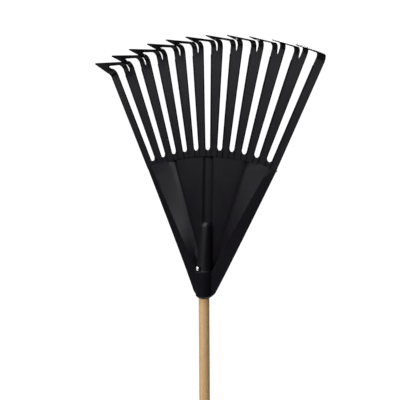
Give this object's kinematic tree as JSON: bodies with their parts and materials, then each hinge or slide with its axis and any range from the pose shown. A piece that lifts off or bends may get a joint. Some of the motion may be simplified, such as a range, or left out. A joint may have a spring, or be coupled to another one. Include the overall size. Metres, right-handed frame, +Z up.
{
  "type": "leaf rake",
  "caption": "Moulded plastic fan head with slotted web and looped pointed tines, on a long round wooden handle fixed by a screw in the head's socket.",
  "frame": {"origin": "on the handle's axis, where the straight shaft starts just above the rounded butt end", "axes": "+Z up along the handle to the head, +X across the fan, tine tips point to -Y"},
  "size_m": [0.5778, 0.0988, 1.7063],
  "materials": {
    "head_plastic": "moulded satin, black",
    "handle_wood": "sanded hardwood with a thin clear coat",
    "screw_zinc": "zinc plated"
  },
  "bodies": {
    "root": {"rake_head": "head_plastic", "handle": "handle_wood", "socket_screw": "screw_zinc"}
  },
  "joints": []
}
